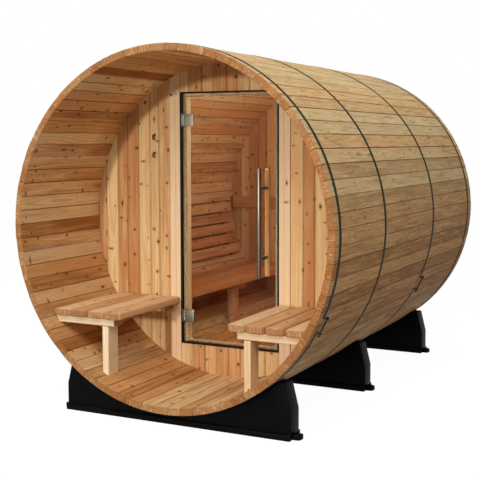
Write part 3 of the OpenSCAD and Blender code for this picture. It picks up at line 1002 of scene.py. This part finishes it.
def strap(mesh, y_low, y_high, angle, lug_face):
    """A flat bar spun round the barrel from one lug to the other."""
    open_half = math.asin(lug_face / outer_r)
    bar = bmesh.new()
    bmesh.ops.create_grid(bar, x_segments=1, y_segments=1, size=0.5,
                          matrix=Matrix.Translation((outer_r + strap_t / 2 - 0.0001, 0, 0))
                          @ Matrix.Diagonal((strap_t, y_high - y_low, 1, 1)))
    bmesh.ops.spin(bar, geom=bar.verts[:] + bar.edges[:] + bar.faces[:], cent=(0, 0, 0),
                   axis=(0, -1, 0), angle=2 * math.pi - 2 * open_half, steps=150)
    ease(bar, 0.0004, 1, [e for e in bar.edges if e.calc_face_angle(0) > 1.0])
    turn = Matrix.Rotation(-(angle + open_half), 4, "Y")
    bmesh.ops.transform(bar, verts=bar.verts[:], matrix=Matrix.Translation(
        (0, (y_low + y_high) / 2, axis_z)) @ turn)
    join_mesh(mesh, bar)


straps = bmesh.new()
for hoop in hoops:
    strap(straps, *hoop)
smooth(straps)
finish_piece("hoop_straps", straps, hoop_steel, "hoop_steel", "hoops")


# %% Fit the lugs and bolts
def lug(mesh, y_low, y_high, angle, lug_face, side):
    """A bent plate: a foot riveted to the strap and an upstand for the bolt."""
    middle, half = (y_low + y_high) / 2, (y_high - y_low) / 2
    near, far = side * lug_face, side * (lug_face + lug_t)
    plate = bmesh.new()
    block(plate, (min(near, far), -half, -0.001), (max(near, far), half, 0.026), 0.0006, 1)
    corner = [e for e in plate.edges if all(v.co.z > 0.02 for v in e.verts)
              and all(abs(v.co.y) > half - 0.002 for v in e.verts)
              and abs(e.verts[0].co.x - e.verts[1].co.x) > 0.002]
    ease(plate, 0.007, 5, corner)
    plate.transform(turned(angle, outer_r, middle))
    join_mesh(mesh, plate)
    foot_at = turned(angle - side * (lug_face + 0.018) / outer_r, outer_r + strap_t, middle)
    block(mesh, (-0.018, -half + 0.001, 0), (0.018, half - 0.001, 0.0024), 0.0007, 2, foot_at)
    for offset in (-0.004, 0.010):
        rod(mesh, foot_at @ Matrix.Translation((side * offset, 0, 0.0022)), 0.0042, 0.0022,
            16, 0.0010)


def bolt(mesh, y_low, y_high, angle, lug_face):
    """A threaded bolt along the strap, with a washer and a nut outside each lug."""
    at = turned(angle, outer_r + 0.015, (y_low + y_high) / 2) @ Matrix.Rotation(
        math.pi / 2, 4, "Y")
    end = lug_face + lug_t + 0.014
    screw = bmesh.new()
    tip_r, crest_r, root_r, ridges = 0.0030, 0.0040, 0.0034, 80
    last = screw.verts.new((tip_r, 0, -end))
    for step in range(1, 2 * ridges + 1):
        spot = screw.verts.new((crest_r if step % 2 else root_r, 0,
                                -end + 2 * end * step / (2 * ridges + 1)))
        screw.edges.new((last, spot))
        last = spot
    screw.edges.new((last, screw.verts.new((tip_r, 0, end))))
    bmesh.ops.spin(screw, geom=screw.verts[:] + screw.edges[:], cent=(0, 0, 0),
                   axis=(0, 0, 1), angle=2 * math.pi, steps=12, use_merge=True)
    bmesh.ops.holes_fill(screw, edges=[e for e in screw.edges if e.is_boundary], sides=0)
    screw.transform(at)
    join_mesh(mesh, screw)
    for side in (-1, 1):
        start = side * (lug_face + lug_t)
        face = at @ Matrix.Translation((0, 0, start)) @ Matrix.Rotation(
            0 if side > 0 else math.pi, 4, "X")
        rod(mesh, face, 0.0095, 0.0014, 24, 0.0003)
        rod(mesh, face @ Matrix.Translation((0, 0, 0.0014)), 0.0080, 0.0068, 6, 0.0010)


lugs, bolts = bmesh.new(), bmesh.new()
for hoop in hoops:
    lug(lugs, *hoop, -1)
    lug(lugs, *hoop, 1)
    bolt(bolts, *hoop)
bmesh.ops.remove_doubles(lugs, verts=lugs.verts[:], dist=1e-6)
smooth(lugs)
smooth(bolts)
finish_piece("hoop_lugs", lugs, lug_steel, "hoop_steel", "hoops")
finish_piece("hoop_bolts", bolts, bolt_steel, "hoop_steel", "hoops")

# %% [markdown]
# ## Cradles
#
# Three moulded cradles carry the barrel. A cradle is a flat shape with the barrel's curve in
# its top, given its thickness, and a lip runs round its foot. The curve is spun from one
# vertex, so that it follows the barrel. A lug at each end takes a bolt into the ground.

# %% Mould the cradles
def cradle(mesh, node):
    """A cradle from the corners of its CAD node."""
    spots = [v.co for v in frame["nodes"][node].data.vertices]
    low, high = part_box(node)
    middle_y = (low.y + high.y) / 2
    upper = [s for s in spots if s.z > 0.05]
    half_t = max(s.y for s in upper) - middle_y
    end_x, tip_z = max(s.x for s in upper), high.z
    end_z = max(s.z for s in upper if abs(s.x - end_x) < 1e-4)
    tip_x = max(s.x for s in upper if abs(s.z - tip_z) < 1e-4)
    arc_x = math.sqrt(outer_r ** 2 - (axis_z - tip_z) ** 2)
    lip_z = max(s.z for s in spots if abs(s.y - low.y) < 1e-4)

    body = bmesh.new()
    start = body.verts.new((-arc_x, -half_t, tip_z))
    sweep = 2 * math.asin(arc_x / outer_r)
    bmesh.ops.spin(body, geom=[start], cent=(0, -half_t, axis_z), axis=(0, -1, 0), angle=sweep,
                   steps=48)
    arc = sorted(body.verts, key=lambda v: v.co.x)
    rest = [body.verts.new((x, -half_t, z)) for x, z in
            ((tip_x, tip_z), (end_x, end_z), (end_x, 0.0), (-end_x, 0.0), (-end_x, end_z),
             (-tip_x, tip_z))]
    for edge in body.edges[:]:
        body.edges.remove(edge)
    draw_out(body, [body.faces.new(arc + rest)], (0, 2 * half_t, 0))
    ease(body, 0.005, 3, [e for e in body.edges if e.calc_face_angle(0) > 0.35])
    body.transform(Matrix.Translation((0, middle_y, 0)))
    join_mesh(mesh, body)

    lip = bmesh.new()
    block(lip, (-end_x, low.y, 0), (end_x, high.y, lip_z), 0.0015, 2)
    join_mesh(mesh, lip)
    ground_lug = [s for s in spots if s.x > end_x + 0.01]
    lug_y = max(s.y for s in ground_lug)
    lug_z = max(s.z for s in ground_lug)
    for side in (-1, 1):
        inner, outer = side * (end_x - 0.006), side * high.x
        ear = new_board((abs(outer - inner), 2 * (lug_y - middle_y), lug_z))
        ease(ear, 0.016, 6, [e for e in ear.edges if all(v.co.x * side > 0 for v in e.verts)
                             and abs(e.verts[0].co.z - e.verts[1].co.z) > 0.01])
        ease(ear, 0.003, 2, [e for e in ear.edges if all(v.co.z > 0 for v in e.verts)
                             and e.calc_face_angle(0) > 0.8])
        ear.transform(Matrix.Translation(((inner + outer) / 2, middle_y, lug_z / 2)))
        join_mesh(mesh, ear)


def ground_bolts(mesh, node):
    """A washer and a hexagon head on each lug of a cradle."""
    low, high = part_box(node)
    for side in (-1, 1):
        spot = Vector((side * (high.x - 0.018), (low.y + high.y) / 2, 0.0218))
        rod(mesh, Matrix.Translation(spot), 0.0125, 0.002, 32, 0.0005)
        rod(mesh, Matrix.Translation(spot + Vector((0, 0, 0.002))), 0.0092, 0.0062, 6, 0.0012)


for where in ("front", "middle", "rear"):
    mesh = bmesh.new()
    cradle(mesh, "cradle_" + where)
    smooth(mesh)
    finish_piece(f"cradle_{where}_moulding", mesh, black_moulding, "cradle_moulding",
                 "cradle_" + where)
    mesh = bmesh.new()
    ground_bolts(mesh, "cradle_" + where)
    smooth(mesh)
    finish_piece(f"cradle_{where}_bolts", mesh, bolt_steel, "hoop_steel")

# %% [markdown]
# ## Doorway
#
# A thin black profile lines the doorway. It is a rectangle inset by the profile's thickness
# and extruded to its depth, so that its corners meet without a joint. A small catch with a
# roller stands on the right jamb and holds the glass door shut.

# %% Line the doorway
low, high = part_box("door_liner")
liner_t = 0.010
liner = bmesh.new()
bmesh.ops.create_grid(liner, x_segments=1, y_segments=1, size=0.5,
                      matrix=Matrix.Translation(((low.x + high.x) / 2, low.y,
                                                 (low.z + high.z) / 2))
                      @ Matrix.Rotation(math.pi / 2, 4, "X")
                      @ Matrix.Diagonal((high.x - low.x, high.z - low.z, 1, 1)))
ring = bmesh.ops.inset_region(liner, faces=liner.faces[:], thickness=liner_t,
                              use_boundary=True, use_even_offset=True)["faces"]
opening = [f for f in liner.faces if f not in ring]
bmesh.ops.delete(liner, geom=opening, context="FACES_ONLY")
draw_out(liner, liner.faces[:], (0, high.y - low.y, 0))
ease(liner, 0.0008, 2, [e for e in liner.edges if e.calc_face_angle(0) > 1.0])
finish_piece("liner", liner, black_liner, "black_liner", "door_liner")

# %% Fit the catch
low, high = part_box("door_catch")
catch = bmesh.new()
block(catch, (low.x + 0.005, low.y, low.z), (high.x, high.y, high.z), 0.0025, 3)
for z in (low.z + 0.004, high.z - 0.008):
    block(catch, (low.x, low.y + 0.004, z), (low.x + 0.008, high.y - 0.004, z + 0.004),
          0.0006, 1)
rod(catch, Matrix.Translation((low.x + 0.0035, (low.y + high.y) / 2, low.z + 0.008)), 0.0035,
    high.z - low.z - 0.016, 20, 0.0006)
smooth(catch)
finish_piece("catch", catch, dark_catch, "catch_metal", "door_catch")

# %% [markdown]
# ## Hinges
#
# Each hinge has a leaf on the liner and a pair of plates that clamp the glass. The plates have
# rounded corners and flat screw heads. The barrel between them is turned: a knuckle and pin on
# the fixed leaf, between two knuckles that move with the door.

# %% Cut plates and screw heads
pivot = Vector(next(j for j in frame["joints"] if j["name"] == "door_hinge")["pos_m"])
glass_low, glass_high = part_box("door_glass")


def rounded_plate(mesh, low, high, notch=None):
    """A plate across Y with rounded corners, and a notch in its left edge if asked."""
    outline = [(low[0], low[2]), (high[0], low[2]), (high[0], high[2]), (low[0], high[2])]
    if notch:
        depth, half = notch
        middle = (low[2] + high[2]) / 2
        outline += [(low[0], middle + half), (low[0] + depth, middle + half),
                    (low[0] + depth, middle - half), (low[0], middle - half)]
    plate = bmesh.new()
    points = [plate.verts.new((x, low[1], z)) for x, z in outline]
    draw_out(plate, bmesh.ops.contextual_create(plate, geom=points)["faces"],
             (0, high[1] - low[1], 0))
    corner = {(round(x, 5), round(z, 5)) for x, z in outline[:4]}
    ease(plate, 0.003, 5, [e for e in plate.edges
                           if abs(e.verts[0].co.y - e.verts[1].co.y) > 0.001
                           and (round(e.verts[0].co.x, 5), round(e.verts[0].co.z, 5)) in corner])
    ease(plate, 0.0008, 2, [e for e in plate.edges if e.calc_face_angle(0) > 1.2])
    join_mesh(mesh, plate)


def screw_head(mesh, at, radius):
    """A flat screw head with a small hexagon on it, facing along Z of the frame at."""
    rod(mesh, at, radius, 0.0006, 28, 0.0002)
    rod(mesh, at @ Matrix.Translation((0, 0, 0.0006)), radius * 0.5, 0.0002, 6, 0.0)


print("pivot", [round(v, 4) for v in pivot])

# %% Build the hinges
knuckle_r, knuckle_h, fixed_half = 0.0055, 0.0195, 0.0098
pin_r, pin_half = 0.0030, 0.0300
plate_t = 0.006


def on_pivot(mesh, bottom, radius, height, sides, bevel):
    """A rod on the door's pivot line."""
    rod(mesh, Matrix.Translation((pivot.x, pivot.y, bottom)), radius, height, sides, bevel)


def hinge_leaf(mesh, low, high):
    """The fixed half: a leaf screwed to the liner, with the middle knuckle and the pin."""
    z = (low.z + high.z) / 2
    block(mesh, (low.x, low.y, low.z), (low.x + 0.002, high.y, high.z), 0.0006, 2)
    block(mesh, (low.x + 0.001, pivot.y - 0.0035, z - fixed_half),
          (pivot.x, pivot.y + 0.0035, z + fixed_half), 0.0006, 2)
    on_pivot(mesh, z - fixed_half, knuckle_r, 2 * fixed_half, 28, 0.0006)
    on_pivot(mesh, z - pin_half, pin_r, 2 * pin_half, 20, 0.0008)
    for dz in (-0.026, 0.026):
        screw_head(mesh, Matrix.Translation((low.x + 0.0018, low.y + 0.010, z + dz))
                   @ Matrix.Rotation(math.pi / 2, 4, "Y"), 0.0036)


def hinge_clamp(mesh, low, high):
    """The moving half: a knuckle below and above, and a plate on each face of the glass."""
    z = (low.z + high.z) / 2
    for bottom in (z - 0.0299, z + 0.0104):
        on_pivot(mesh, bottom, knuckle_r, knuckle_h, 28, 0.0006)
        block(mesh, (pivot.x, pivot.y - 0.0030, bottom + 0.0005),
              (pivot.x + 0.008, glass_low.y - 0.0005, bottom + knuckle_h - 0.0005), 0.0005, 1)
    rounded_plate(mesh, (pivot.x, glass_low.y - plate_t, low.z), (high.x, glass_low.y, high.z),
                  notch=(0.0065, 0.0106))
    inner_x = glass_low.x + 0.003
    rounded_plate(mesh, (inner_x, glass_high.y, low.z), (high.x, glass_high.y + plate_t, high.z))
    for dz in (-0.020, 0.020):
        screw_head(mesh, along_axis("Y", ((inner_x + high.x) / 2, glass_high.y + 0.0056, z + dz)),
                   0.0062)


for name, body, node, half in (("hinge_leaves", "cabin", "hinge_brackets", hinge_leaf),
                               ("hinge_plates", "door", "hinge_clamps", hinge_clamp)):
    mesh = bmesh.new()
    for spots in solids(node):
        half(mesh, *corners(spots))
    smooth(mesh)
    finish_piece(name, mesh, satin_steel, "hinge_steel", node, body=body)

# %% [markdown]
# ## Door
#
# The door is one sheet of toughened glass, so the sheet of the CAD model stays and takes the
# clear finish. Its seal stays as well. A steel tube on two standoffs is the outer handle, and
# a square cedar grip is fixed through the glass behind it.

# %% Glaze the door
for node, finish in (("door_glass", glass), ("door_seal", seal_plastic)):
    piece = frame["nodes"][node]
    for slot in piece.material_slots:
        slot.material = finish
    print(node, "takes", finish.name)


# %% Fit the handles
low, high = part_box("door_pull")
grip_low, grip_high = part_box("door_grip")
pull_x, pull_r = (low.x + high.x) / 2, (high.x - low.x) / 2
tube_y = low.y + pull_r
stud_r, washer_r, washer_t = 0.0080, 0.0125, 0.003
stud_ends = [v.co.z for v in frame["nodes"]["door_pull"].data.vertices
             if abs(v.co.y - high.y) < 1e-4]
half_pitch = (max(stud_ends) - min(stud_ends)) / 2 - stud_r
middle_z = (low.z + high.z) / 2
pull = bmesh.new()
rod(pull, Matrix.Translation((pull_x, tube_y, low.z)), pull_r, high.z - low.z, 48, 0.0022)
for z in (middle_z - half_pitch, middle_z + half_pitch):
    for start, end, radius, sides, bevel in (
            (tube_y + pull_r - 0.002, glass_low.y, stud_r, 32, 0.0),
            (glass_low.y - washer_t, glass_low.y, washer_r, 36, 0.0008),
            (glass_low.y - 0.001, glass_high.y + 0.001, 0.0050, 16, 0.0),
            (glass_high.y, glass_high.y + washer_t, washer_r, 36, 0.0008),
            (glass_high.y + 0.002, grip_low.y, stud_r, 32, 0.0)):
        rod(pull, along_axis("Y", (pull_x, start, z)), radius, end - start, sides, bevel)
smooth(pull)
finish_piece("pull", pull, brushed_steel, "handle_steel", "door_pull", body="door")

stack = Stack(91)
stack.lay(*planed(grip_low, grip_high, "Z", 0.004))
finish_piece("grip", stack.mesh, cabin_cedar, "cabin_wood", "door_grip", body="door")

# %% [markdown]
# ## Floor, sky and lamps
#
# The sauna stands on a plain pale floor. A camera ray sees the floor as white, with only the
# sauna's own shadow taken from it, while the light that reaches the boards from below is that
# of a mid-grey ground. The sky works the same way: white to the camera and in reflections, and
# dimmer as a lamp. A soft sun nearly square on to the porch and a wide lamp high on each side
# light the front, as on a bright day in a garden. A wide lamp overhead picks out the barrel's
# back, and a small one lights the cabin behind the glass.

# %% Tell the rays that are seen
def seen_rays(tree):
    """1 for a ray that the eye follows, straight, mirrored or through glass, and the rays."""
    rays = tree.node("LightPath")
    seen = rays.math("MAXIMUM", rays.out("Is Camera Ray"), rays.out("Is Glossy Ray"))
    return rays.math("MAXIMUM", seen, rays.out("Is Transmission Ray")), rays


# %% Lay the floor
def floor_finish():
    """A ground that is white to the camera, but for a soft shadow under the sauna."""
    material, tree = new_tree("floor")
    seen, rays = seen_rays(tree)
    white = tree.node("Emission", inputs={"Color": (1, 1, 1, 1), "Strength": 1.035})
    shade = tint(rays.out("Is Camera Ray"), (0.42, 0.42, 0.42, 1), (0.95, 0.95, 0.95, 1))
    ground = tree.node("BsdfPrincipled", inputs={
        "Base Color": shade, "Roughness": 0.9, "Specular IOR Level": 0.0})
    show(tree.node("MixShader", inputs={0: seen * 0.94, 1: ground, 2: white}))
    return material


floor_mesh = bmesh.new()
bmesh.ops.create_grid(floor_mesh, x_segments=1, y_segments=1, size=60)
floor_data = bpy.data.meshes.new("floor")
floor_mesh.to_mesh(floor_data)
floor_mesh.free()
floor_data.materials.append(floor_finish())
floor = bpy.data.objects.new("floor", floor_data)
bpy.context.scene.collection.objects.link(floor)
floor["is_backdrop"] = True
print("floor", floor.name)

# %% Set the sky
world = bpy.data.worlds.new("sky")
bpy.context.scene.world = world
world.use_nodes = True
world.node_tree.nodes.clear()
sky = Shade(world.node_tree)
sky_strength = seen_rays(sky)[0] * 0.77 + 0.23
sky.node("OutputWorld", inputs={"Surface": sky.node(
    "Background", inputs={"Color": (1, 1, 1, 1), "Strength": sky_strength})})
print("sky nodes", len(world.node_tree.nodes))


# %% Hang the lamps
def lamp(name, kind, energy, place, towards, **settings):
    """A lamp at a place, turned towards a point."""
    data = bpy.data.lights.new(name, kind)
    data.energy = energy
    for key, value in settings.items():
        setattr(data, key, value)
    light = bpy.data.objects.new(name, data)
    light.location = place
    light.rotation_euler = (Vector(towards) - Vector(place)).to_track_quat("-Z", "Y").to_euler()
    light.visible_camera = light.visible_transmission = False
    bpy.context.scene.collection.objects.link(light)


porch = (0, -0.9, 0.8)
lamp("sun", "SUN", 1.28, (-0.3, -8, 2.0), (0, 0, 1.0), angle=math.radians(3))
lamp("high_right", "AREA", 144, (2.5, -4.5, 4.5), porch, shape="RECTANGLE", size=3, size_y=2.5)
lamp("high_left", "AREA", 110, (-2.5, -4.5, 4.5), porch, shape="RECTANGLE", size=3, size_y=2.5)
lamp("overhead", "AREA", 112, (0.5, 0.2, 5.5), (0.2, 0.2, 1.0), shape="RECTANGLE", size=3,
     size_y=5)
lamp("cabin", "AREA", 6.6, (0.45, -0.25, 1.45), (-0.3, 0.95, 1.85), shape="DISK", size=0.25)
print("lamps", len(bpy.data.lights))

# %% [markdown]
# ## Measure
#
# The looks may not change the size, so the box round the finished sauna is written beside the
# box of the model it follows.

# %% Set the view transform and measure the finished sauna
bpy.context.scene.view_settings.view_transform = "Standard"
low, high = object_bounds()
print("finished size", [round(v, 4) for v in high - low])
